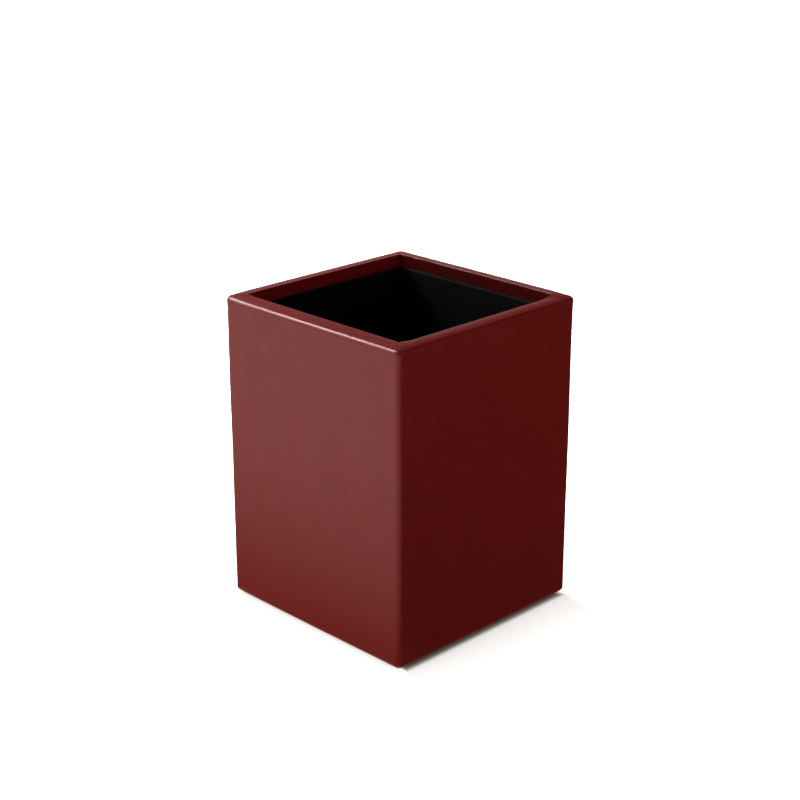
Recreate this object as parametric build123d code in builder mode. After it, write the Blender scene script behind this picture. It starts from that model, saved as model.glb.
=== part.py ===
from build123d import *
import os
from math import sqrt

# An upright square pen holder: a glued box of boards, covered in leather, with a lined well.
# Millimetres. +X is right, +Y is the rear and +Z is up. The origin is on the surface that the
# holder stands on, under the middle of the box.

os.makedirs("parts", exist_ok=True)

# Box of boards
shell_side = 78.0
shell_height = 102.4
board_thickness = 4.0
base_thickness = 4.0
rebate_depth = 2.0
board_corner_radius = 1.2
board_edge_radius = 0.5

# Leather covering, turned over the rim and under the foot
leather_thickness = 0.8
turn_in_depth = 15.0
turn_under_width = 12.0
fold_radius = 0.9
mitre_margin = 1.5
slit_width = 0.15
seam_from_corner = 9.0

# Lining panels of the four walls
lining_reveal = 3.8
card_thickness = 0.8
cover_thickness = 0.3
card_edge_radius = 0.3
flap_width = 10.0
panel_fit = 0.15

# Floor panel of the well
floor_card_thickness = 1.0
floor_fit = 0.3

# Pad under the base
pad_thickness = 1.0
pad_inset = 3.0
pad_corner_radius = 2.0

# Heights, from the surface that the holder stands on
leather_bottom = pad_thickness
shell_bottom = leather_bottom + leather_thickness
shell_top = shell_bottom + shell_height
rim_top = shell_top + leather_thickness
turn_in_bottom = rim_top - turn_in_depth
base_top = shell_bottom + base_thickness
floor_panel_thickness = floor_card_thickness + 2 * cover_thickness
floor_top = base_top + floor_panel_thickness
lining_top = rim_top - lining_reveal

# Widths across the box, each one between two opposite faces
outer_side = shell_side + 2 * leather_thickness
board_opening = shell_side - 2 * board_thickness
turn_in_opening = board_opening - 2 * leather_thickness
panel_thickness = card_thickness + 2 * cover_thickness
well_side = turn_in_opening - 2 * panel_thickness

# Roundings, each one held within the wall that it is cut in
corner_radius = min(board_corner_radius, 0.8 * (board_thickness - rebate_depth))
edge_radius = min(board_edge_radius, 0.8 * corner_radius)
rim_fold_radius = min(fold_radius, 2 * leather_thickness)
card_radius = min(card_edge_radius, 0.45 * card_thickness)

FRONT, RIGHT, REAR, LEFT = -90, 0, 90, 180
UP = Vector(0, 0, 1)


def wall_plane(side, distance, height):
    """An upright plane that faces the middle of the box, with its own Y axis pointing up."""
    outward = Vector(1, 0, 0).rotate(Axis.Z, side)
    origin = outward * distance + UP * height
    return Plane(origin=origin, x_dir=UP.cross(outward * -1), z_dir=outward * -1)


def save(builder, name):
    """Name a finished piece and write it to its own file."""
    builder.part.label = name
    export_step(builder.part, f"parts/{name}.step")


# The outer form of the glued box, with its sanded corners and edges. It is a shaping block:
# each board is trimmed to it, and the leather is hollowed by it.
with BuildPart() as shell_form:
    with BuildSketch(Plane.XY.offset(shell_bottom)):
        RectangleRounded(shell_side, shell_side, corner_radius)
    extrude(amount=shell_height)
    fillet(shell_form.faces().sort_by(Axis.Z)[-1].edges(), edge_radius)
    fillet(shell_form.faces().sort_by(Axis.Z)[0].edges(), edge_radius)


def wall_board(name, side, width, has_end_rebates):
    """One wall of the box, rebated along its foot for the base and, if asked, at both ends."""
    outer_plane = wall_plane(side, shell_side / 2, shell_bottom)
    rebate_plane = outer_plane.offset(board_thickness - rebate_depth)
    with BuildPart() as board:
        with BuildSketch(outer_plane):
            Rectangle(width, shell_height, align=(Align.CENTER, Align.MIN))
        extrude(amount=board_thickness)
        with BuildSketch(rebate_plane):
            Rectangle(width, base_thickness, align=(Align.CENTER, Align.MIN))
            if has_end_rebates:
                with Locations((-width / 2, 0)):
                    Rectangle(board_thickness, shell_height, align=Align.MIN)
                with Locations((width / 2, 0)):
                    Rectangle(board_thickness, shell_height, align=(Align.MAX, Align.MIN))
        extrude(amount=rebate_depth, mode=Mode.SUBTRACT)
        add(shell_form.part, mode=Mode.INTERSECT)
    save(board, name)


side_board_width = shell_side - 2 * (board_thickness - rebate_depth)
wall_board("front_board", FRONT, shell_side, True)
wall_board("rear_board", REAR, shell_side, True)
wall_board("left_board", LEFT, side_board_width, False)
wall_board("right_board", RIGHT, side_board_width, False)

# The base sits in the rebates round the foot of the walls.
with BuildPart() as base_board:
    with BuildSketch(Plane.XY.offset(shell_bottom)):
        Rectangle(board_opening + 2 * rebate_depth, board_opening + 2 * rebate_depth)
    extrude(amount=base_thickness)
save(base_board, "base_board")

# The space inside the leather that the boards take up. Above the end of the turn-in it is only
# the thickness of the walls.
with BuildPart() as leather_cavity:
    add(shell_form.part)
    with BuildSketch(Plane.XY.offset(turn_in_bottom)):
        Rectangle(board_opening, board_opening)
    extrude(amount=turn_in_depth, mode=Mode.SUBTRACT)

# One strip of leather round the box, over the rim, down the inside and under the foot. Its ends
# meet in a butt seam on the rear wall, and its flaps are mitred at the corners.
with BuildPart() as leather_wrap:
    with BuildSketch(Plane.XY.offset(leather_bottom)):
        RectangleRounded(outer_side, outer_side, corner_radius + leather_thickness)
    extrude(amount=rim_top - leather_bottom)
    fillet(leather_wrap.faces().sort_by(Axis.Z)[-1].edges(), edge_radius + leather_thickness)
    fillet(leather_wrap.faces().sort_by(Axis.Z)[0].edges(), edge_radius + leather_thickness)
    add(leather_cavity.part, mode=Mode.SUBTRACT)
    with BuildSketch(Plane.XY.offset(turn_in_bottom)):
        Rectangle(turn_in_opening, turn_in_opening)
    extrude(amount=turn_in_depth, mode=Mode.SUBTRACT)
    inner_rim = leather_wrap.faces().sort_by(Axis.Z)[-1].inner_wires()[0]
    fillet(inner_rim.edges(), rim_fold_radius)

    turn_under_opening = outer_side - 2 * turn_under_width
    with BuildSketch(Plane.XY.offset(leather_bottom)):
        Rectangle(turn_under_opening, turn_under_opening)
    extrude(amount=leather_thickness, mode=Mode.SUBTRACT)

    # Mitred slits at the four corners of the rim, from the inner corner to short of the outer one
    mitre_end = (outer_side / 2 - mitre_margin) * sqrt(2)
    rim_mitre_start = turn_in_opening / 2 * sqrt(2) - slit_width
    with BuildSketch(Plane.XY.offset(turn_in_bottom)):
        with PolarLocations((rim_mitre_start + mitre_end) / 2, 4, start_angle=45):
            Rectangle(mitre_end - rim_mitre_start, slit_width)
    extrude(amount=turn_in_depth, mode=Mode.SUBTRACT)

    # The same under the foot
    foot_mitre_start = turn_under_opening / 2 * sqrt(2) - slit_width
    with BuildSketch(Plane.XY.offset(leather_bottom)):
        with PolarLocations((foot_mitre_start + mitre_end) / 2, 4, start_angle=45):
            Rectangle(mitre_end - foot_mitre_start, slit_width)
    extrude(amount=leather_thickness, mode=Mode.SUBTRACT)

    # The butt seam, from the end of the turn-in over the rim and down to the end of the turn-under
    with BuildSketch(Plane.XY.offset(leather_bottom)):
        with Locations((shell_side / 2 - seam_from_corner, 0)):
            Rectangle(slit_width, outer_side / 2, align=(Align.CENTER, Align.MIN))
    extrude(amount=rim_top - leather_bottom, mode=Mode.SUBTRACT)
save(leather_wrap, "leather_wrap")


def lining_panel(place, side, width):
    """A lining panel: a stiff card, and a covering wrapped over its edges and onto its back."""
    height = lining_top - floor_top
    back_plane = wall_plane(side, turn_in_opening / 2, floor_top)
    with BuildPart() as card:
        with BuildSketch(back_plane.offset(cover_thickness)):
            with Locations((0, cover_thickness)):
                card_size = (width - 2 * cover_thickness, height - 2 * cover_thickness)
                Rectangle(*card_size, align=(Align.CENTER, Align.MIN))
        extrude(amount=card_thickness)
        fillet(card.faces().sort_by(Axis.Z)[-1].edges().group_by(SortBy.LENGTH)[-1], card_radius)
    save(card, f"lining_card_{place}")

    with BuildPart() as cover:
        with BuildSketch(back_plane):
            Rectangle(width, height, align=(Align.CENTER, Align.MIN))
        extrude(amount=panel_thickness)
        top_edges = cover.faces().sort_by(Axis.Z)[-1].edges().group_by(SortBy.LENGTH)[-1]
        fillet(top_edges, card_radius + cover_thickness)
        add(card.part, mode=Mode.SUBTRACT)
        with BuildSketch(back_plane):
            with Locations((0, height / 2)):
                Rectangle(width - 2 * flap_width, height - 2 * flap_width)
        extrude(amount=cover_thickness, mode=Mode.SUBTRACT)
    save(cover, f"lining_cover_{place}")


# The front and rear panels run the full width of the well, and the side panels stand between them.
lining_panel("front", FRONT, turn_in_opening - 2 * panel_fit)
lining_panel("rear", REAR, turn_in_opening - 2 * panel_fit)
lining_panel("left", LEFT, well_side - 2 * panel_fit)
lining_panel("right", RIGHT, well_side - 2 * panel_fit)

# The floor panel lies on the base, and the wall panels stand on its edges.
floor_side = board_opening - 2 * floor_fit
with BuildPart() as floor_card:
    with BuildSketch(Plane.XY.offset(base_top + cover_thickness)):
        Rectangle(floor_side - 2 * cover_thickness, floor_side - 2 * cover_thickness)
    extrude(amount=floor_card_thickness)
save(floor_card, "floor_card")

with BuildPart() as floor_cover:
    with BuildSketch(Plane.XY.offset(base_top)):
        Rectangle(floor_side, floor_side)
    extrude(amount=floor_panel_thickness)
    add(floor_card.part, mode=Mode.SUBTRACT)
    with BuildSketch(Plane.XY.offset(base_top)):
        Rectangle(floor_side - 2 * flap_width, floor_side - 2 * flap_width)
    extrude(amount=cover_thickness, mode=Mode.SUBTRACT)
save(floor_cover, "floor_cover")

# The pad hides the ends of the turn-under and is what the holder stands on.
with BuildPart() as base_pad:
    with BuildSketch():
        pad_side = outer_side - 2 * pad_inset
        RectangleRounded(pad_side, pad_side, pad_corner_radius)
    extrude(amount=pad_thickness)
save(base_pad, "base_pad")
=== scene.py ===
"""Looks of a square leather pen holder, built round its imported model.

Every length is in metres and every piece stays in the model's own frame: +Z up, +Y to the rear,
origin under the middle of the box on the surface that it stands on. The boards and cards keep
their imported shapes. The leather, the lining cloth and the felt pad are worked out here as
surfaces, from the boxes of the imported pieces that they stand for.
"""
import logging
from collections.abc import Sequence
from dataclasses import dataclass
from enum import Enum
from math import cos, pi, radians, sin
from typing import Any

import bmesh
import bpy
import numpy as np
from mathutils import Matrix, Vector


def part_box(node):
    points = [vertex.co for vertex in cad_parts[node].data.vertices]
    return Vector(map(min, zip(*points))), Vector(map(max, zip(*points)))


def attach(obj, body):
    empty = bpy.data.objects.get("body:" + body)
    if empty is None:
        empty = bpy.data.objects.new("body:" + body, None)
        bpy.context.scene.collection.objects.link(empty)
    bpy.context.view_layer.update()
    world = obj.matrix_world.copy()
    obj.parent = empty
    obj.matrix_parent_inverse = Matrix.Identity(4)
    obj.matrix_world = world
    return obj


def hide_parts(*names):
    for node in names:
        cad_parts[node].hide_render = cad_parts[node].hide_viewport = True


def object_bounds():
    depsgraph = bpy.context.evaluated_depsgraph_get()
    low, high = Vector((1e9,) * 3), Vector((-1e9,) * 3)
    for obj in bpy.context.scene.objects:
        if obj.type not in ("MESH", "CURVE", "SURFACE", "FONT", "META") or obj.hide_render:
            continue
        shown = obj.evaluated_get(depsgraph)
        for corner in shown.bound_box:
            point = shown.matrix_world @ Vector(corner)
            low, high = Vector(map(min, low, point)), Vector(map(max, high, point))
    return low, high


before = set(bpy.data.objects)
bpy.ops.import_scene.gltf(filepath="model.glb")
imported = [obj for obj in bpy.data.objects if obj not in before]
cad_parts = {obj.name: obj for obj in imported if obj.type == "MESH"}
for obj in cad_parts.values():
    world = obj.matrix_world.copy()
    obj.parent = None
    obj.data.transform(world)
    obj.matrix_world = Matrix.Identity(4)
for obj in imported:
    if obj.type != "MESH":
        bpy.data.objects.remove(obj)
cad_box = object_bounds()

logging.basicConfig(level=logging.INFO, format="%(message)s")
log = logging.getLogger("pen_holder")

MM = 0.001
BODY = "root"
WHITE = "#ffffff"
MERGE = 0.002 * MM
LEAST_RADIUS = 0.02 * MM
FAR_AWAY = 1.0
WALL_CLOTH_SEED = 21
FLOOR_CLOTH_SEED = 27

Array = np.ndarray
Colour = tuple[float, float, float, float]
Glow = tuple[float, tuple[tuple[str, float, float], ...]]
Tree = bpy.types.NodeTree
Socket = bpy.types.NodeSocket
Material = bpy.types.Material
Piece = bpy.types.Object


class Wall(Enum):
    """The four walls of the box. Each value is the direction that the wall faces, outwards."""

    FRONT = (0, -1, 0)
    REAR = (0, 1, 0)
    LEFT = (-1, 0, 0)
    RIGHT = (1, 0, 0)

    @property
    def place(self) -> str:
        """The word that the wall's nodes end or begin with."""
        return self.name.lower()


def linear(hex_colour: str) -> Colour:
    """Turn an sRGB hex colour into the linear colour that a shader socket takes.

    Args:
        hex_colour: Six hex digits, with or without a leading hash.

    Returns:
        Red, green, blue and an alpha of 1, in linear light.
    """
    digits = hex_colour.lstrip("#")
    shares = [int(digits[i:i + 2], 16) / 255 for i in (0, 2, 4)]
    light = [s / 12.92 if s <= 0.04045 else ((s + 0.055) / 1.055) ** 2.4 for s in shares]
    return (light[0], light[1], light[2], 1.0)


def per_metre(size: float) -> float:
    """The texture scale at which one cell of a pattern is this many metres wide."""
    return 1 / size


def add_node(tree: Tree, kind: str, sockets: dict[str | int, Any] | None = None,
             **settings: Any) -> bpy.types.Node:
    """Add a node with its settings, and set or link its inputs.

    Args:
        tree: The node tree that gets the node.
        kind: The node's type name.
        sockets: Input names or numbers, each with a plain value or an output socket to link.
        **settings: Properties of the node itself.

    Returns:
        The new node.
    """
    node = tree.nodes.new(kind)
    for name, value in settings.items():
        setattr(node, name, value)
    for key, value in (sockets or {}).items():
        if isinstance(value, Socket):
            tree.links.new(value, node.inputs[key])
        else:
            node.inputs[key].default_value = value
    return node


def maths(tree: Tree, operation: str, *values: Any) -> Socket:
    """Add a maths node.

    Args:
        tree: The node tree that gets the node.
        operation: What the node does.
        *values: Its inputs in order, each a plain value or an output socket.

    Returns:
        The result's socket.
    """
    sockets = dict(enumerate(values))
    return add_node(tree, "ShaderNodeMath", sockets, operation=operation).outputs["Value"]


def blend(tree: Tree, share: Socket, first: Any, second: Any) -> Socket:
    """Add a node that blends two colours.

    Args:
        tree: The node tree that gets the node.
        share: How much of the second colour there is, from 0 to 1.
        first: The first colour, or its output socket.
        second: The second colour, or its output socket.

    Returns:
        The blended colour's socket.
    """
    sockets = {"Factor": share, "A": first, "B": second}
    return add_node(tree, "ShaderNodeMix", sockets, data_type="RGBA").outputs["Result"]


def rescale(tree: Tree, value: Socket, low: float, high: float,
            to: tuple[float, float] = (0.0, 1.0), smooth: bool = False) -> Socket:
    """Add a node that turns one range of a value into another and holds it at both ends.

    Args:
        tree: The node tree that gets the node.
        value: The value's socket.
        low: Where the range starts.
        high: Where it ends, which may be below its start.
        to: The result at the start and at the end.
        smooth: Whether the result bends gently at both ends.

    Returns:
        The result's socket.
    """
    sockets = {"Value": value, "From Min": low, "From Max": high, "To Min": to[0], "To Max": to[1]}
    way = "SMOOTHSTEP" if smooth else "LINEAR"
    return add_node(tree, "ShaderNodeMapRange", sockets, interpolation_type=way).outputs["Result"]


def noise(tree: Tree, place: Socket, size: float, detail: float, output: str = "Fac",
          **more: float) -> Socket:
    """Add a noise texture.

    Args:
        tree: The node tree that gets the node.
        place: Object coordinates.
        size: Width of one cell, in metres.
        detail: How many finer layers are added.
        output: Which output is wanted.
        **more: Further inputs by name.

    Returns:
        The output's socket.
    """
    sockets = {"Vector": place, "Scale": per_metre(size), "Detail": detail, **more}
    return add_node(tree, "ShaderNodeTexNoise", sockets).outputs[output]


def new_material(name: str) -> tuple[Material, Tree, Socket]:
    """Make an empty node material.

    Args:
        name: The material's name.

    Returns:
        The material, its node tree and its Object coordinates.
    """
    material = bpy.data.materials.new(name)
    material.use_nodes = True
    tree = material.node_tree
    tree.nodes.clear()
    return material, tree, add_node(tree, "ShaderNodeTexCoord").outputs["Object"]


def finish_with(tree: Tree, shader: Socket) -> None:
    """Join a shader to the material's output."""
    add_node(tree, "ShaderNodeOutputMaterial", {"Surface": shader})


def seen_rays(tree: Tree) -> Socket:
    """Tell the rays that show the background from those that light the holder.

    Args:
        tree: The node tree that gets the nodes.

    Returns:
        A value of 1 for a ray from the camera, off a gloss or through a glass, and 0 for the rest.
    """
    path = add_node(tree, "ShaderNodeLightPath").outputs
    direct = maths(tree, "MAXIMUM", path["Is Camera Ray"], path["Is Glossy Ray"])
    return maths(tree, "MAXIMUM", direct, path["Is Transmission Ray"])


@dataclass(frozen=True)
class CoatedLeather:
    """Split leather with a dyed polyurethane coat, plated smooth with a fine pressed grain.

    The coat gives the eye a deep even red with a soft, broad shine, warmed a little by the
    pigment near its surface. The grain and the slow changes in gloss only break that shine up.
    """

    name: str = "coated_leather_burgundy"
    deep_red: str = "#5c0e0a"
    warm_red: str = "#630f0b"
    crease_red: str = "#480a07"
    turned_red: str = "#5f0d08"
    shine_tint: str = "#ffe3da"
    cloud_size: float = 14 * MM
    grain_size: float = 0.75 * MM
    grain_bend: float = 0.6
    groove_share: float = 0.22
    crease_share: float = 0.25
    pore_size: float = 0.32 * MM
    grain_depth: float = 0.012 * MM
    gloss_patch: float = 9 * MM
    gloss_range: tuple[float, float] = (0.3, 0.7)
    roughness: tuple[float, float] = (0.38, 0.44)
    turned_roughness: float = 0.3
    turned_half: float = 34.6 * MM
    turned_blend: float = 0.4 * MM

    def material(self) -> Material:
        """Build the node material."""
        material, tree, place = new_material(self.name)
        red = blend(tree, noise(tree, place, self.cloud_size, 3.0),
                    linear(self.deep_red), linear(self.warm_red))
        warp = noise(tree, place, 2 * self.grain_size, 2.0, output="Color")
        bent = add_node(tree, "ShaderNodeVectorMath", {
            0: warp, "Scale": self.grain_bend * self.grain_size}, operation="SCALE")
        bent_place = add_node(tree, "ShaderNodeVectorMath", {
            0: place, 1: bent.outputs["Vector"]}, operation="ADD")
        grain = add_node(tree, "ShaderNodeTexVoronoi", {
            "Vector": bent_place.outputs["Vector"], "Scale": per_metre(self.grain_size)},
            feature="DISTANCE_TO_EDGE")
        pebble = rescale(tree, grain.outputs["Distance"], 0.0, self.groove_share, smooth=True)
        relief = maths(tree, "ADD", pebble, noise(tree, place, self.pore_size, 2.0))
        bump = add_node(tree, "ShaderNodeBump", {
            "Height": relief, "Strength": 1.0, "Distance": self.grain_depth})
        groove = rescale(tree, pebble, 0.0, 1.0, to=(self.crease_share, 0.0))
        colour = blend(tree, groove, red, linear(self.crease_red))
        gloss = rescale(tree, noise(tree, place, self.gloss_patch, 2.0), *self.gloss_range,
                        to=self.roughness)
        turned = self.turned_share(tree, place)
        final_gloss = add_node(tree, "ShaderNodeMix", {
            "Factor": turned, "A": gloss, "B": self.turned_roughness})
        coat = add_node(tree, "ShaderNodeBsdfPrincipled", {
            "Base Color": blend(tree, turned, colour, linear(self.turned_red)),
            "Roughness": final_gloss.outputs["Result"],
            "IOR": 1.5, "Specular IOR Level": 0.7, "Specular Tint": linear(self.shine_tint),
            "Normal": bump.outputs["Normal"]})
        finish_with(tree, coat.outputs["BSDF"])
        return material

    def turned_share(self, tree: Tree, place: Socket) -> Socket:
        """Find the leather that is turned down inside and rubbed flat with a bone folder.

        It starts where the larger of the distances from the middle, along X and along Y, falls
        under the half width of the well's mouth.

        Args:
            tree: The node tree that gets the nodes.
            place: Object coordinates.

        Returns:
            A share of 0 on the face and the rim and 1 on the turned-in leather.
        """
        axes = add_node(tree, "ShaderNodeSeparateXYZ", {"Vector": place}).outputs
        reach = maths(tree, "MAXIMUM", maths(tree, "ABSOLUTE", axes["X"]),
                      maths(tree, "ABSOLUTE", axes["Y"]))
        return rescale(tree, reach, self.turned_half + self.turned_blend, self.turned_half,
                       smooth=True)


@dataclass(frozen=True)
class LiningSuede:
    """Black lining suede, a non-woven cloth with a short brushed nap.

    It gives the eye an almost even black that pales a little where it is seen along the nap.
    """

    name: str = "lining_suede_black"
    black: str = "#020202"
    brushed: str = "#0e0e0f"
    sheen: str = "#c4d2d4"
    nap_size: float = 0.28 * MM
    patch_size: float = 16 * MM
    nap_depth: float = 0.05 * MM
    brushed_range: tuple[float, float] = (0.12, 0.42)

    def material(self) -> Material:
        """Build the node material."""
        material, tree, place = new_material(self.name)
        nap = noise(tree, place, self.nap_size, 3.0, Roughness=0.7)
        patches = noise(tree, place, self.patch_size, 2.0)
        share = rescale(tree, maths(tree, "MULTIPLY", nap, patches), *self.brushed_range)
        bump = add_node(tree, "ShaderNodeBump", {
            "Height": nap, "Strength": 0.6, "Distance": self.nap_depth})
        cloth = add_node(tree, "ShaderNodeBsdfPrincipled", {
            "Base Color": blend(tree, share, linear(self.black), linear(self.brushed)),
            "Roughness": 0.85, "Specular IOR Level": 0.08, "Sheen Weight": 0.05,
            "Sheen Roughness": 0.45, "Sheen Tint": linear(self.sheen),
            "Normal": bump.outputs["Normal"]})
        finish_with(tree, cloth.outputs["BSDF"])
        return material


@dataclass(frozen=True)
class PressedFelt:
    """Dense pressed felt, cut with a die. It gives the eye a dull, fibrous dark grey brown."""

    name: str = "pressed_felt_dark"
    dark: str = "#1f1b19"
    pale: str = "#3a3431"
    fibre_size: float = 0.22 * MM
    clump_size: float = 1.6 * MM
    fibre_depth: float = 0.08 * MM
    pale_range: tuple[float, float] = (0.15, 0.4)

    def material(self) -> Material:
        """Build the node material."""
        material, tree, place = new_material(self.name)
        fibres = noise(tree, place, self.fibre_size, 4.0, Roughness=0.75, Distortion=1.2)
        clumps = noise(tree, place, self.clump_size, 2.0)
        share = rescale(tree, maths(tree, "MULTIPLY", fibres, clumps), *self.pale_range)
        bump = add_node(tree, "ShaderNodeBump", {
            "Height": fibres, "Strength": 0.8, "Distance": self.fibre_depth})
        felt = add_node(tree, "ShaderNodeBsdfPrincipled", {
            "Base Color": blend(tree, share, linear(self.dark), linear(self.pale)),
            "Roughness": 0.95, "Specular IOR Level": 0.2, "Sheen Weight": 0.15,
            "Sheen Roughness": 0.5, "Normal": bump.outputs["Normal"]})
        finish_with(tree, felt.outputs["BSDF"])
        return material


@dataclass(frozen=True)
class PressedBoard:
    """A board of pressed fibres, bare: fibreboard or solid grey board.

    It gives the eye a plain matt ground with fine flecks of paler and darker fibre.
    """

    name: str
    ground: str
    fleck: str
    fleck_size: float
    roughness: float
    relief: float = 0.03 * MM
    fleck_range: tuple[float, float] = (0.38, 0.68)

    def material(self) -> Material:
        """Build the node material."""
        material, tree, place = new_material(self.name)
        flecks = noise(tree, place, self.fleck_size, 5.0, Roughness=0.7, Distortion=0.8)
        share = rescale(tree, flecks, *self.fleck_range)
        bump = add_node(tree, "ShaderNodeBump", {
            "Height": flecks, "Strength": 0.5, "Distance": self.relief})
        board = add_node(tree, "ShaderNodeBsdfPrincipled", {
            "Base Color": blend(tree, share, linear(self.ground), linear(self.fleck)),
            "Roughness": self.roughness, "Specular IOR Level": 0.3,
            "Normal": bump.outputs["Normal"]})
        finish_with(tree, board.outputs["BSDF"])
        return material


FIBREBOARD = PressedBoard("fibreboard_bare", "#8a6a47", "#a8875f", 0.9 * MM, 0.8)
GREYBOARD = PressedBoard("greyboard_bare", "#7f7b75", "#a39f97", 0.7 * MM, 0.9)


@dataclass(frozen=True)
class WhitePaper:
    """Matt white studio paper on the floor. It gives the eye a plain white ground.

    Rays from the camera, and those that a gloss or a glass sends on, find it white and lifted.
    The lift starts at the holder's foot and is whole a few centimetres away, so the shadow at
    the foot stays. There a painted contact shadow also turns the paper and the lift brown.
    Beside the left wall the lift is whole at once: painted light over the shadow that falls
    there. Rays that only carry light find the paper grey.
    """

    name: str = "white_studio_paper"
    white: str = "#f8f8f8"
    grey: str = "#686868"
    painted_shadow_tint: str = "#b4a696"
    painted_contact_shadow: str = "#5a4336"
    foot_half: float = 37.6 * MM
    fade_width: float = 40 * MM
    left_start: float = 28 * MM
    left_end: float = 40 * MM
    left_bend: float = 8.0
    right_inset: float = 2.2 * MM
    lift: tuple[tuple[float, float], ...] = (
        (0.0, 0.03), (0.027, 0.12), (0.05, 0.33), (0.075, 0.65), (0.105, 0.71), (0.2, 0.74),
        (0.6, 0.82), (1.0, 1.0))

    def material(self) -> Material:
        """Build the node material.

        The way from the foot is the largest of three: the distance along Y, the distance to the
        right, and on the left a high power of the share of the way to the wall's outside.
        """
        material, tree, place = new_material(self.name)
        axes = add_node(tree, "ShaderNodeSeparateXYZ", {"Vector": place}).outputs
        # Painted light: beside the left wall the lift is whole at once and covers the shadow that
        # falls there.
        to_left = rescale(tree, axes["X"], -self.left_start, -self.left_end)
        left = maths(tree, "MULTIPLY_ADD", maths(tree, "POWER", to_left, self.left_bend),
                     self.fade_width, self.foot_half)
        right = maths(tree, "ADD", axes["X"], self.right_inset)
        reach = maths(tree, "MAXIMUM", maths(tree, "MAXIMUM", right, left),
                      maths(tree, "ABSOLUTE", axes["Y"]))
        away = rescale(tree, reach, self.foot_half, self.foot_half + self.fade_width)
        lift = add_node(tree, "ShaderNodeValToRGB", {"Fac": away})
        lift.color_ramp.interpolation = "LINEAR"
        while len(lift.color_ramp.elements) < len(self.lift):
            lift.color_ramp.elements.new(0.5)
        for stop, (position, value) in zip(lift.color_ramp.elements, self.lift):
            stop.position, stop.color = position, (value, value, value, 1)
        share = lift.outputs["Color"]
        # Painted shadow: near the foot the lift's colour and the paper's colour turn brown.
        lift_shadow_colour = blend(tree, share, linear(self.painted_shadow_tint), linear(WHITE))
        ground = blend(tree, share, linear(self.painted_contact_shadow), linear(self.white))
        seen = seen_rays(tree)
        paper = add_node(tree, "ShaderNodeBsdfDiffuse", {
            "Color": blend(tree, seen, linear(self.grey), ground)})
        lifting = add_node(tree, "ShaderNodeEmission", {
            "Color": lift_shadow_colour, "Strength": maths(tree, "MULTIPLY", seen, share)})
        both = add_node(tree, "ShaderNodeAddShader", {
            0: paper.outputs["BSDF"], 1: lifting.outputs["Emission"]})
        finish_with(tree, both.outputs["Shader"])
        return material


@dataclass(frozen=True)
class DimMuslin:
    """Dark muslin of a light tent, black but for two places where it glows dimly, as if lit.

    It gives the leather something dark to mirror, with a soft band of light along the rims and a
    paler stretch of ground beside the left wall. It glows by itself, so the lamps don't reach it.
    """

    name: str = "dim_studio_muslin"
    dark: float = 0.01
    # Painted light: each glow stands in for light falling on the cloth, and only reflections see
    # it.
    low_band: Glow = (
        0.33, (("Reach", 0.25, 0.6), ("Z", 1.3, 0.35), ("Y", 0.1, 1.1)))
    left_ground: Glow = (
        0.95, (("Reach", 1.3, 0.5), ("Z", 0.1, 0.01), ("X", -0.015, -0.16), ("Y", -0.44, -0.12)))

    def material(self) -> Material:
        """Build the node material.

        Each glow is its strength times a few steps along the cloth. A step goes from 0 at its
        first distance to 1 at its second one.
        """
        material, tree, place = new_material(self.name)
        axes = add_node(tree, "ShaderNodeSeparateXYZ", {"Vector": place}).outputs
        length = add_node(tree, "ShaderNodeVectorMath", {0: place}, operation="LENGTH")
        measures = {"Reach": length.outputs["Value"], **{axis: axes[axis] for axis in "XYZ"}}
        strength = self.dark
        for glow, steps in (self.low_band, self.left_ground):
            for measure, low, high in steps:
                step = rescale(tree, measures[measure], low, high, smooth=True)
                glow = maths(tree, "MULTIPLY", glow, step)
            strength = maths(tree, "ADD", strength, glow)
        cloth = add_node(tree, "ShaderNodeEmission", {
            "Color": linear(WHITE), "Strength": strength})
        finish_with(tree, cloth.outputs["Emission"])
        return material


def closed_mesh(name: str, points: Array, faces: Array, material: Material,
                merge: float = 0.0) -> Piece:
    """Put whole arrays of points and four-sided faces into a new smooth object.

    Args:
        name: The object's name.
        points: Positions, one row for each vertex.
        faces: Vertex numbers, four to a row, anticlockwise seen from outside.
        material: The finish.
        merge: Distance under which vertices become one, or 0 to keep them all.

    Returns:
        The object, at the origin and linked to the scene.
    """
    mesh = bpy.data.meshes.new(name)
    mesh.from_pydata(points.tolist(), [], faces.tolist())
    if merge > 0:
        work = bmesh.new()
        work.from_mesh(mesh)
        bmesh.ops.remove_doubles(work, verts=work.verts, dist=merge)
        bmesh.ops.recalc_face_normals(work, faces=work.faces)
        work.to_mesh(mesh)
        work.free()
    mesh.polygons.foreach_set("use_smooth", np.ones(len(mesh.polygons), dtype=bool))
    mesh.update()
    mesh.materials.append(material)
    piece = bpy.data.objects.new(name, mesh)
    bpy.context.scene.collection.objects.link(piece)
    return piece


def grid_faces(rows: int, columns: int, wrap_rows: bool = False) -> Array:
    """Faces of a grid of points numbered row by row.

    Args:
        rows: Number of rows.
        columns: Number of points in a row.
        wrap_rows: Whether the last row joins the first.

    Returns:
        Vertex numbers, four to a face.
    """
    row = np.arange(rows if wrap_rows else rows - 1)[:, None]
    column = np.arange(columns - 1)[None, :]
    after = (row + 1) % rows
    corners = [row * columns + column, row * columns + column + 1,
               after * columns + column + 1, after * columns + column]
    shape = (row.size, column.size)
    return np.stack([np.broadcast_to(c, shape) for c in corners], -1).reshape(-1, 4)


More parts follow.
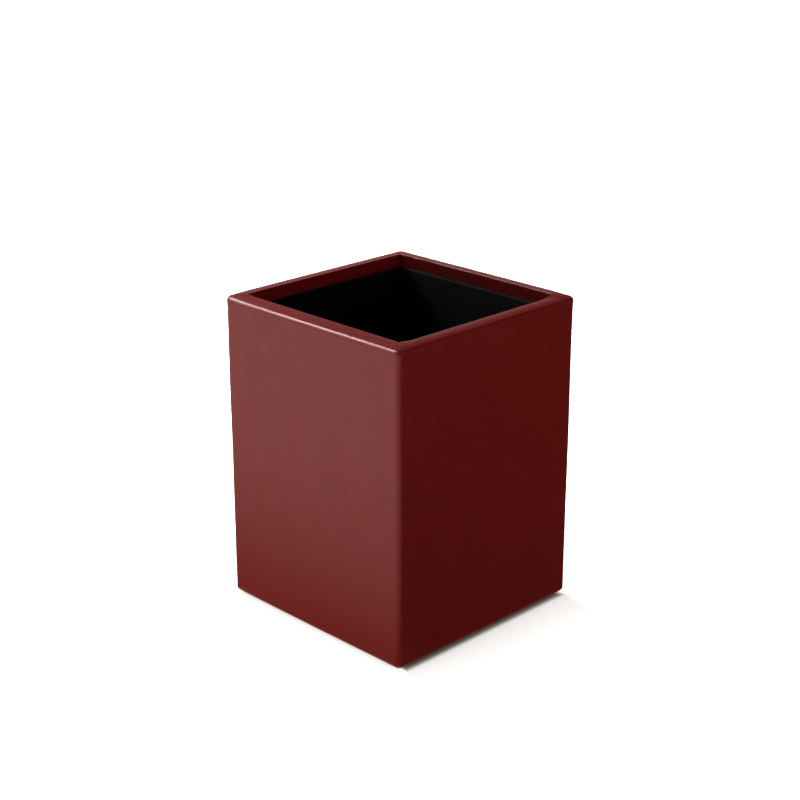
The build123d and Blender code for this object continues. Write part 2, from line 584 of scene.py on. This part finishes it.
def thick_sheet(face: Array, back: Array) -> tuple[Array, Array]:
    """Join the two sides of a sheet into one closed shell.

    Args:
        face: Points of the side that shows, as rows, columns and places.
        back: Points of the other side, in the same order.

    Returns:
        The vertices, and the four-sided faces with their edges closed.
    """
    rows, columns = face.shape[:2]
    shift = rows * columns
    number = np.arange(shift).reshape(rows, columns)
    front_faces = grid_faces(rows, columns)
    back_faces = front_faces[:, ::-1] + shift
    edge = np.concatenate([number[:-1, 0], number[-1, :-1], number[:0:-1, -1], number[0, :0:-1]])
    after = np.roll(edge, -1)
    edge_faces = np.stack([edge, after, after + shift, edge + shift], -1)
    points = np.concatenate([face.reshape(-1, 3), back.reshape(-1, 3)])
    return points, np.concatenate([front_faces, back_faces, edge_faces])


def surface_normals(points: Array) -> Array:
    """Unit normals of a grid of points: the cross product of its slopes down columns and rows."""
    across = np.cross(np.gradient(points, axis=1), np.gradient(points, axis=0))
    return across / np.maximum(np.linalg.norm(across, axis=-1, keepdims=True), 1e-12)


def slow_waves(points: Array, length: float, seed: int, waves: int = 7) -> Array:
    """A smooth uneven field: the mean of sine waves with seeded directions and starts.

    Args:
        points: Places, in the last axis.
        length: The mean length of a wave, in metres.
        seed: Seed of the directions and starts.
        waves: How many sine waves are added.

    Returns:
        Values of about -1 to 1, one for each place.
    """
    draw = np.random.default_rng(seed)
    directions = draw.normal(size=(waves, 3))
    directions /= np.linalg.norm(directions, axis=1, keepdims=True)
    pace = 2 * pi / (length * draw.uniform(0.7, 1.6, waves))
    start = draw.uniform(0, 2 * pi, waves)
    return np.sin(points @ (directions * pace[:, None]).T + start).mean(axis=-1) * 2


def gentle_step(value: Array, low: float, high: float) -> Array:
    """Rises smoothly from 0 at low to 1 at high: 3 x squared less 2 x cubed."""
    share = np.clip((value - low) / (high - low), 0, 1)
    return share * share * (3 - 2 * share)


def bell(distance: Array, width: float) -> Array:
    """A bell curve of height 1: e to the power of minus the squared share of the width."""
    return np.exp(-(distance / width) ** 2)


def rounded_profile(corners: Array, before: Sequence[float], after: Sequence[float],
                    steps: Sequence[int], arc_steps: int) -> Array:
    """Points along a bent line whose corners are quarter ellipses.

    An arc's point at angle a is the corner, less the way in times before times (1 - sin a), plus
    the way out times after times (1 - cos a).

    Args:
        corners: Start, corners and end of the line, one to a row.
        before: How far before each corner its arc starts.
        after: How far after each corner its arc ends.
        steps: Points on each straight run.
        arc_steps: Points on each arc.

    Returns:
        The points, one to a row.
    """
    ways = np.diff(corners, axis=0)
    ways /= np.linalg.norm(ways, axis=1, keepdims=True)
    angle = np.linspace(0, pi / 2, arc_steps)[:, None]
    parts, start = [], corners[0]
    for i, corner in enumerate(corners[1:-1]):
        end = corner - ways[i] * before[i]
        share = (0.5 - 0.5 * np.cos(np.linspace(0, pi, steps[i])))[min(i, 1):-1, None]
        parts.append(start + (end - start) * share)
        parts.append(corner - ways[i] * before[i] * (1 - np.sin(angle))
                     + ways[i + 1] * after[i] * (1 - np.cos(angle)))
        start = corner + ways[i + 1] * after[i]
    share = (0.5 - 0.5 * np.cos(np.linspace(0, pi, steps[-1])))[1:, None]
    parts.append(start + (corners[-1] - start) * share)
    return np.concatenate(parts)


def rounded_ring(half_x: Array, half_y: Array, radius: Array, steps: int, arc_steps: int,
                 seam: float | None = None, seam_gap: float = 0.0) -> Array:
    """Walk round rectangles with rounded corners, one rectangle for each value given.

    Along a side the place is the side's start plus the share of its straight run. Round a corner
    it is the corner's centre plus the radius times the cosine and sine of the angle. The walk
    goes anticlockwise from the seam on the rear side, or from the middle of that side.

    Args:
        half_x: Half widths.
        half_y: Half depths.
        radius: Corner radii.
        steps: Points along each straight run.
        arc_steps: Points inside each corner.
        seam: Where the walk starts and ends, along X, or None for a closed walk.
        seam_gap: Gap left open at the seam.

    Returns:
        Places as walk, rectangle and X or Y.
    """
    share = (0.5 - 0.5 * np.cos(np.linspace(0, pi, steps)))[:, None]
    angle = np.linspace(0, pi / 2, arc_steps + 2)[1:-1, None]
    start = 0.0 if seam is None else -seam
    sides = [((0, 1), (-1, 0)), ((-1, 0), (0, -1)), ((0, -1), (1, 0)), ((1, 0), (0, 1)),
             ((0, 1), (-1, 0))]
    parts = []
    for i, (normal, tangent) in enumerate(sides):
        out, along = (half_y, half_x) if normal[0] == 0 else (half_x, half_y)
        first = -(along - radius) if i > 0 else np.full_like(half_x, start + seam_gap / 2)
        last = along - radius if i < 4 else np.full_like(half_x, start - seam_gap / 2)
        run = first + (last - first) * share
        if seam is None and i == 4:
            run = run[:-1]
        parts.append(np.stack([normal[0] * out + tangent[0] * run,
                               normal[1] * out + tangent[1] * run], -1))
        if i < 4:
            away = (out - radius) + radius * np.cos(angle)
            ahead = (along - radius) + radius * np.sin(angle)
            parts.append(np.stack([normal[0] * away + tangent[0] * ahead,
                                   normal[1] * away + tangent[1] * ahead], -1))
    return np.concatenate(parts)


@dataclass
class LeatherCovering:
    """The strip of leather round the box, turned over the rim and under the foot.

    Its cross-section is a bent line carried round the box: up the inside, over the rim, down the
    outside and in under the foot. Its two ends meet in a butt seam on the rear wall.

    The ripple has a height and a mean length. The swelling, the puff, the crease, and the seam's
    dip and lip each have a height, then a distance if they stand off from their line, then the
    widths over which they die away.
    """

    low: Vector
    high: Vector
    rim_width: float
    thickness: float = 0.8 * MM
    corner_radius: float = 2.2 * MM
    inner_radius: float = 0.35 * MM
    turn_in: float = 15 * MM
    turn_under: float = 12 * MM
    rim_round: tuple[float, float] = (0.9 * MM, 1.3 * MM)
    fold_round: tuple[float, float] = (0.11 * MM, 0.11 * MM)
    fold_lift: float = 0.35 * MM
    foot_round: float = 1.3 * MM
    board_edge: float = 0.5 * MM
    board_arris: float = 0.1 * MM
    seam_x: float = 30 * MM
    seam_gap: float = 0.05 * MM
    crown: float = 0.2 * MM
    roll_width: float = 5.0 * MM
    far_roll: float = 0.35 * MM
    near_roll: float = 0.85 * MM
    front_fold: float = 0.5 * MM
    fold_width: float = 4.2 * MM
    soft_end: float = 0.2 * MM
    wave_height: float = 0.06 * MM
    wave_length: float = 38 * MM
    wave_seed: int = 11
    flat_below: float = 4.5 * MM
    sag_depth: float = 4 * MM
    near_blend: float = 8 * MM
    front_blend: tuple[float, float] = (-1 * MM, 6 * MM)
    inside_step: tuple[float, float] = (1.1 * MM, 2.2 * MM)
    outside_step: tuple[float, float] = (0.2 * MM, 1.2 * MM)
    left_blend: float = 1 * MM
    soft_step: tuple[float, float] = (20 * MM, 37 * MM)
    soft_width: float = 1.1 * MM
    ripple: tuple[float, float] = (0.008 * MM, 9 * MM)
    ripple_seed: int = 12
    swelling: tuple[float, float, float] = (0.16 * MM, 2.6 * MM, 5 * MM)
    puff: tuple[float, float, float] = (0.07 * MM, 0.9 * MM, 0.7 * MM)
    crease: tuple[float, float] = (0.08 * MM, 0.2 * MM)
    seam_dip: tuple[float, float] = (0.13 * MM, 0.3 * MM)
    seam_lip: tuple[float, float, float] = (0.04 * MM, 1.1 * MM, 0.7 * MM)
    run_steps: tuple[int, ...] = (12, 10, 78, 8)
    arc_steps: int = 12
    side_steps: int = 54
    corner_steps: int = 13

    @property
    def half(self) -> float:
        """Half the outside width."""
        return (self.high.x - self.low.x) / 2

    def profiles(self) -> tuple[Array, Array]:
        """The bent line on the leather's face and on its back, as inset and height."""
        top, foot = self.high.z, self.low.z
        wide, skin = self.rim_width, self.thickness
        face_line = np.array([(wide, top - self.turn_in), (wide, top), (0, top), (0, foot),
                              (self.turn_under, foot)])
        before = (self.fold_round[1], self.rim_round[0], self.foot_round)
        after = (self.fold_round[0], self.rim_round[1], self.foot_round)
        face = rounded_profile(face_line, before, after, self.run_steps, self.arc_steps)
        back_line = np.array([(wide - skin, top - self.turn_in), (wide - skin, top - skin),
                              (skin, top - skin), (skin, foot + skin),
                              (self.turn_under, foot + skin)])
        rounds = (self.board_arris, self.board_edge, self.board_edge)
        back = rounded_profile(back_line, rounds, rounds, self.run_steps, self.arc_steps)
        return face, back

    def carry_round(self, profile: Array) -> Array:
        """Carry a profile round the box: at each inset, a rounded square that much smaller."""
        inset, height = profile.T
        half = self.half - inset
        radius = np.maximum(self.corner_radius - inset, self.inner_radius)
        ring = rounded_ring(half, half, radius, self.side_steps, self.corner_steps, self.seam_x,
                            self.seam_gap)
        return np.concatenate([ring, np.broadcast_to(height, ring.shape[:2])[..., None]], -1)

    def relief(self, points: Array, inset: Array) -> Array:
        """How far the face stands out from its plain form.

        It is the sum of ripples, a swelling where the leather is folded at the four upper corners,
        creases along the mitres of the rim, turn-in and foot with a puff on each side, a dip at
        the butt seam with a lip on each side, and a softer edge at the rear end of the left wall's
        rim. Each is a bell curve or a gentle step of a distance.

        Args:
            points: The plain face.
            inset: Inset of each profile point from the outside.

        Returns:
            Heights along the surface's normal.
        """
        x, y, z = np.moveaxis(points, -1, 0)
        from_top = self.high.z - z
        from_diagonal = np.abs(np.abs(x) - np.abs(y)) / np.sqrt(2)
        from_corner = self.half - np.minimum(np.abs(x), np.abs(y))
        from_seam = np.where(y > 0, np.abs(x - self.seam_x), FAR_AWAY)
        inside = gentle_step(inset, *self.inside_step)[None, :]
        outside = 1 - gentle_step(inset, *self.outside_step)[None, :]
        ripples = self.ripple[0] * slow_waves(points, self.ripple[1], self.ripple_seed)
        height, down, along = self.swelling
        swelling = height * bell(from_top, down) * bell(from_corner, along) * outside
        height, distance, width = self.puff
        puff = height * bell(from_diagonal - distance, width) * inside
        crease = -self.crease[0] * bell(from_diagonal, self.crease[1]) * inside
        height, distance, width = self.seam_lip
        lip = height * bell(from_seam - distance, width)
        seam = -self.seam_dip[0] * bell(from_seam, self.seam_dip[1]) + lip
        on_left = gentle_step(-x - np.abs(y), -self.left_blend, self.left_blend)
        at_edge = bell(np.hypot(inset[None, :], from_top), self.soft_width)
        end = -self.soft_end * on_left * gentle_step(y, *self.soft_step) * at_edge
        return ripples + swelling + puff + crease + seam + end

    def bulge(self, points: Array, inset: Array) -> Array:
        """How far each wall stands out, level: a flat crown less the square of the way across.

        Slow waves are added, and the whole fades out over the rim and under the foot.

        Args:
            points: The plain face.
            inset: Inset of each profile point from the outside.

        Returns:
            Distances outwards, none above 0.
        """
        across = np.minimum(np.abs(points[..., 0]), np.abs(points[..., 1])) / self.half
        waves = self.wave_height * (slow_waves(points, self.wave_length, self.wave_seed) - 1)
        fade = (1 - gentle_step(inset, 0, self.flat_below))[None, :]
        return (waves - self.crown * across ** 2) * fade

    def sag(self, points: Array, inset: Array) -> Array:
        """How far the rim rolls down towards its outer edge, most along the front and left walls.

        The drop is the roll times the squared share of the roll's width that is left. Towards
        the front wall's fold the rim goes down in the same way. On the far walls the fold stands
        up a little, by a share that grows evenly across the rim. All die away down the faces as
        a bell curve.

        Args:
            points: The plain face.
            inset: Inset of each profile point from the outside.

        Returns:
            Drops, straight down, below 0 where the leather stands up.
        """
        x, y, z = np.moveaxis(points, -1, 0)
        near = gentle_step(-x - y, -self.near_blend, self.near_blend)
        on_front = gentle_step(-y - np.abs(x), *self.front_blend)
        outer = np.clip(1 - inset / self.roll_width, 0, 1)[None, :] ** 2
        inner = np.clip(1 - (self.rim_width - inset) / self.fold_width, 0, 1)[None, :] ** 2
        drop = ((self.far_roll + (self.near_roll - self.far_roll) * near) * outer
                + self.front_fold * on_front * inner
                - self.fold_lift * (1 - near) * np.clip(inset / self.rim_width, 0, 1)[None, :])
        return drop * bell(self.high.z - z, self.sag_depth)

    def build(self, material: Material) -> Piece:
        """Make the strip.

        Args:
            material: The leather finish.

        Returns:
            The finished piece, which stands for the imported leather.
        """
        face_profile, back_profile = self.profiles()
        face = self.carry_round(face_profile)
        back = self.carry_round(back_profile)
        outward = surface_normals(face)
        relief, bulge, sag = (form(face, face_profile[:, 0])
                              for form in (self.relief, self.bulge, self.sag))
        level = outward[:, [np.argmin(face_profile[:, 0])], :2]
        face = face + outward * relief[..., None]
        face[..., :2] += level * bulge[..., None]
        face[..., 2] -= sag
        points, faces = thick_sheet(face, back)
        piece = closed_mesh("leather_strip", points, faces, material)
        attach(piece, BODY)
        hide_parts("leather_wrap")
        return piece


@dataclass
class WrappedCard:
    """Lining cloth wrapped over a card's edges and glued onto its back.

    Its cross-section is a bent line carried round the card, from the middle of the front, over
    the edge and in to the end of the flap on the back.
    """

    node: str
    facing: Vector
    thickness: float = 1.4 * MM
    cloth: float = 0.3 * MM
    edge_round: float = 0.6 * MM
    corner_radius: float = 0.7 * MM
    flap: float = 10 * MM
    wave_height: float = 0.05 * MM
    wave_length: float = 24 * MM
    seed: int = WALL_CLOTH_SEED
    shows_from: float = 0.6
    run_steps: tuple[int, ...] = (26, 3, 6)
    arc_steps: int = 8
    side_steps: int = 22
    corner_steps: int = 5

    def axes(self) -> tuple[Array, Array, Array]:
        """Unit vectors along the card's width, along its height, and the way that it faces."""
        out = np.array(self.facing, float)
        up = np.array((0, 1, 0) if abs(out[2]) > 0.5 else (0, 0, 1), float)
        return np.cross(up, out), up, out

    def side(self, profile: Array, half: tuple[float, float], centre: Array) -> Array:
        """Carry a profile of inset and height round the card, in the model's frame."""
        inset, height = profile.T
        half_x, half_y = half[0] - inset, half[1] - inset
        radius = np.clip(self.corner_radius - inset, LEAST_RADIUS, np.minimum(half_x, half_y))
        ring = rounded_ring(half_x, half_y, radius, self.side_steps, self.corner_steps)
        across, up, out = self.axes()
        flat = ring[..., :1] * across + ring[..., 1:] * up
        return centre + flat + height[None, :, None] * out

    def build(self, material: Material) -> Piece:
        """Make the covering.

        Args:
            material: The cloth's finish.

        Returns:
            The finished piece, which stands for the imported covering.
        """
        low, high = (np.array(corner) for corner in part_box(self.node))
        across, up, out = self.axes()
        size = high - low
        half = (abs(size @ across) / 2, abs(size @ up) / 2)
        thick = abs(size @ out)
        centre = (low + high) / 2 - out * thick / 2
        middle = min(half)
        corners = np.array([(middle, thick), (0, thick), (0, 0), (self.flap, 0)])
        cloth = self.cloth
        inner = np.array([(middle, thick - cloth), (cloth, thick - cloth), (cloth, cloth),
                          (self.flap, cloth)])
        outside, inside = (
            rounded_profile(line, [round_off] * 2, [round_off] * 2, self.run_steps, self.arc_steps)
            for line, round_off in ((corners, self.edge_round), (inner, self.edge_round - cloth)))
        face = self.side(np.concatenate([outside, inside[::-1]]), half, centre)
        shows = gentle_step((face - centre) @ out, thick * self.shows_from, thick)
        waves = self.wave_height * slow_waves(face, self.wave_length, self.seed) * shows
        face = face + out * (waves - self.wave_height * shows)[..., None]
        rows, columns = face.shape[:2]
        piece = closed_mesh(f"{self.node}_cloth", face.reshape(-1, 3),
                            grid_faces(rows, columns, wrap_rows=True), material, merge=MERGE)
        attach(piece, BODY)
        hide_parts(self.node)
        return piece


@dataclass
class FeltPad:
    """The die-cut felt pad under the base, with its cut edge a little rounded and uneven."""

    node: str = "base_pad"
    corner_radius: float = 2.0 * MM
    edge_round: float = 0.25 * MM
    ragged_depth: float = 0.06 * MM
    ragged_width: float = 0.4 * MM
    ragged_length: float = 3 * MM
    seed: int = 31
    run_steps: tuple[int, ...] = (14, 4, 14)
    arc_steps: int = 6
    side_steps: int = 60
    corner_steps: int = 7

    def build(self, material: Material) -> Piece:
        """Make the pad: a bent line from its top's middle over the edge to its underside's.

        Args:
            material: The felt's finish.

        Returns:
            The finished piece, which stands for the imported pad.
        """
        low, high = (np.array(corner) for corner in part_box(self.node))
        half, thick = (high[0] - low[0]) / 2, high[2] - low[2]
        corners = np.array([(half, thick), (0, thick), (0, 0), (half, 0)])
        rounds = [self.edge_round] * 2
        inset, height = rounded_profile(corners, rounds, rounds, self.run_steps, self.arc_steps).T
        radius = np.clip(self.corner_radius - inset, LEAST_RADIUS, half - inset)
        ring = rounded_ring(half - inset, half - inset, radius, self.side_steps,
                            self.corner_steps)
        level = np.broadcast_to(height + low[2], ring.shape[:2])[..., None]
        face = np.concatenate([ring, level], -1)
        ragged = bell(inset, self.ragged_width) * self.ragged_depth
        waves = 1 + slow_waves(face, self.ragged_length, self.seed)
        face[..., :2] *= 1 - (ragged * waves / half)[..., None]
        rows, columns = face.shape[:2]
        piece = closed_mesh("felt_pad", face.reshape(-1, 3),
                            grid_faces(rows, columns, wrap_rows=True), material, merge=MERGE)
        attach(piece, BODY)
        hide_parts(self.node)
        return piece


@dataclass
class StiffPieces:
    """The boards and cards inside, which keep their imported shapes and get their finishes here."""

    boards: tuple[str, ...] = ("front_board", "rear_board", "left_board", "right_board",
                               "base_board")
    cards: tuple[str, ...] = ("lining_card_front", "lining_card_rear", "lining_card_left",
                              "lining_card_right", "floor_card")

    def dress(self) -> list[str]:
        """Give each board and card its finish, and return their names."""
        fibreboard, greyboard = FIBREBOARD.material(), GREYBOARD.material()
        for names, material in ((self.boards, fibreboard), (self.cards, greyboard)):
            for name in names:
                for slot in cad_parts[name].material_slots:
                    slot.material = material
        return [*self.boards, *self.cards]


class LampUse(Enum):
    """What a lamp does: light surfaces, or leave only its glint in them as crossed filters do."""

    LIGHT = (True, False)
    GLINT = (False, True)


@dataclass(frozen=True)
class SoftLamp:
    """A soft box that lights the holder.

    Its azimuth is that of a viewer who looks from it: 0 stands in front, 90 to the right.
    """

    name: str
    azimuth: float
    elevation: float
    distance: float
    width: float
    height: float
    power: float
    use: LampUse

    def build(self, target: Vector) -> Piece:
        """Place the lamp on its arc round the target, facing it."""
        turn, lift = radians(self.azimuth), radians(self.elevation)
        back = Vector((sin(turn) * cos(lift), -cos(turn) * cos(lift), sin(lift)))
        data = bpy.data.lights.new(self.name, "AREA")
        data.shape = "RECTANGLE"
        data.size, data.size_y = self.width, self.height
        data.energy = self.power
        lamp = bpy.data.objects.new(self.name, data)
        lamp.location = target + back * self.distance
        lamp.rotation_euler = (-back).to_track_quat("-Z", "Y").to_euler()
        lamp.visible_diffuse, lamp.visible_glossy = self.use.value
        bpy.context.scene.collection.objects.link(lamp)
        return lamp


@dataclass
class DarkTent:
    """A dark cloth round and over the holder, from just outside its foot.

    It deepens what the leather mirrors, as in the photograph. Only reflections meet it, so it
    hides nothing and throws no shadow.
    """

    inner_half: float = 40.2 * MM
    radius: float = 1.6
    height: float = 1.6
    clearance: float = 0.5 * MM
    merge: float = 0.01 * MM
    rays: int = 145
    steps: int = 9

    def build(self, material: Material) -> Piece:
        """Make the cloth.

        At each azimuth it starts on a square just outside the foot, runs out flat to the radius,
        goes straight up and comes back over the middle.
        """
        azimuth = np.linspace(-180, 180, self.rays)[:, None]
        side, front = np.sin(np.radians(azimuth)), -np.cos(np.radians(azimuth))
        inner = self.inner_half / np.maximum(np.abs(side), np.abs(front))
        out = np.linspace(0, 1, self.steps)[None, :]
        ground = inner + (self.radius - inner) * out
        roof = self.radius * np.broadcast_to(np.linspace(1, 0, self.steps), ground.shape)
        radius = np.concatenate([ground, roof], axis=1)
        height = np.broadcast_to(np.repeat([self.clearance, self.height], self.steps), radius.shape)
        points = np.stack([side * radius, front * radius, height], -1)
        cloth = closed_mesh("dark_tent", points.reshape(-1, 3), grid_faces(*radius.shape),
                            material, merge=self.merge)
        cloth.visible_camera = cloth.visible_diffuse = False
        cloth.visible_shadow = cloth.visible_transmission = False
        return cloth


@dataclass
class Studio:
    """The floor, the lamps, the sky light and the camera at the photograph's viewing angle."""

    floor_side: float = 12.0
    floor_gap: float = 0.02 * MM
    ambient: float = 0.15
    lamps: tuple[SoftLamp, ...] = (
        SoftLamp("rear_box", azimuth=168, elevation=42, distance=0.7, width=0.2, height=0.2,
                 power=9.8, use=LampUse.LIGHT),
        SoftLamp("low_strip", azimuth=-105, elevation=1.6, distance=0.457, width=0.3,
                 height=0.1, power=1.68, use=LampUse.LIGHT),
        SoftLamp("left_box", azimuth=-90, elevation=9, distance=0.6, width=0.2, height=0.2,
                 power=1.0, use=LampUse.LIGHT),
        SoftLamp("front_box", azimuth=10, elevation=12, distance=0.3, width=0.15, height=0.15,
                 power=0.47, use=LampUse.LIGHT),
        SoftLamp("edge_box", azimuth=-155, elevation=41, distance=1.4, width=0.3, height=0.3,
                 power=18.5, use=LampUse.GLINT),
        SoftLamp("edge_low", azimuth=-149, elevation=27, distance=1.4, width=0.3, height=0.3,
                 power=2.6, use=LampUse.GLINT))
    camera_azimuth: float = -44.68
    camera_tilt: float = 20.09
    camera_reach: float = 512.6 * MM
    camera_height: float = 256.9 * MM
    focal_pixels: float = 1677.9
    frame_pixels: float = 800.0
    sensor: float = 36.0
    clip: tuple[float, float] = (0.01, 50.0)

    def make_floor(self) -> Piece:
        """A large flat square just under the felt."""
        half, level = self.floor_side / 2, -self.floor_gap
        points = np.array([(-half, -half, level), (half, -half, level), (half, half, level),
                           (-half, half, level)])
        floor = closed_mesh("studio_floor", points, np.array([[0, 1, 2, 3]]),
                            WhitePaper().material())
        return floor

    def light(self, target: Vector) -> None:
        """White sky light, dimmer where it lights the holder, and the soft boxes."""
        world = bpy.data.worlds.new("studio_world")
        bpy.context.scene.world = world
        world.use_nodes = True
        tree = world.node_tree
        tree.nodes.clear()
        strength = rescale(tree, seen_rays(tree), 0.0, 1.0, to=(self.ambient, 1.0))
        sky = add_node(tree, "ShaderNodeBackground", {
            "Color": linear(WHITE), "Strength": strength})
        add_node(tree, "ShaderNodeOutputWorld", {"Surface": sky.outputs["Background"]})
        for lamp in self.lamps:
            lamp.build(target)

    def place_camera(self) -> Piece:
        """The camera, on its azimuth round the holder and tilted down."""
        turn, tilt = radians(self.camera_azimuth), radians(self.camera_tilt)
        data = bpy.data.cameras.new("studio_camera")
        data.sensor_width = self.sensor
        data.lens = self.focal_pixels / self.frame_pixels * self.sensor
        data.clip_start, data.clip_end = self.clip
        camera = bpy.data.objects.new("studio_camera", data)
        camera.location = (sin(turn) * self.camera_reach, -cos(turn) * self.camera_reach,
                           self.camera_height)
        ahead = Vector((-sin(turn) * cos(tilt), cos(turn) * cos(tilt), -sin(tilt)))
        camera.rotation_euler = ahead.to_track_quat("-Z", "Y").to_euler()
        bpy.context.scene.collection.objects.link(camera)
        bpy.context.scene.camera = camera
        return camera


def report(piece: Piece) -> None:
    """Log a piece's name, its number of faces and its size in millimetres."""
    size = " x ".join(f"{side / MM:.1f}" for side in piece.dimensions)
    log.info("%s: %d faces, %s mm", piece.name, len(piece.data.polygons), size)


def main() -> None:
    """Build the holder piece by piece, then the studio."""
    bpy.context.scene.view_settings.view_transform = "Standard"
    leather_low, leather_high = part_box("leather_wrap")
    turn_in_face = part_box("lining_cover_rear")[1].y
    covering = LeatherCovering(leather_low, leather_high, leather_high.y - turn_in_face)
    report(covering.build(CoatedLeather().material()))

    suede = LiningSuede().material()
    for number, wall in enumerate(Wall):
        panel = WrappedCard(f"lining_cover_{wall.place}", -Vector(wall.value),
                            seed=WALL_CLOTH_SEED + number)
        report(panel.build(suede))
    floor_panel = WrappedCard("floor_cover", Vector((0, 0, 1)), edge_round=0.5 * MM,
                              seed=FLOOR_CLOTH_SEED)
    report(floor_panel.build(suede))
    report(FeltPad().build(PressedFelt().material()))
    for name in StiffPieces().dress():
        log.info("%s keeps its packed shape", name)

    studio = Studio()
    studio.make_floor()
    DarkTent().build(DimMuslin().material())
    studio.light((cad_box[0] + cad_box[1]) / 2)
    studio.place_camera()


if __name__ == "__main__":
    main()
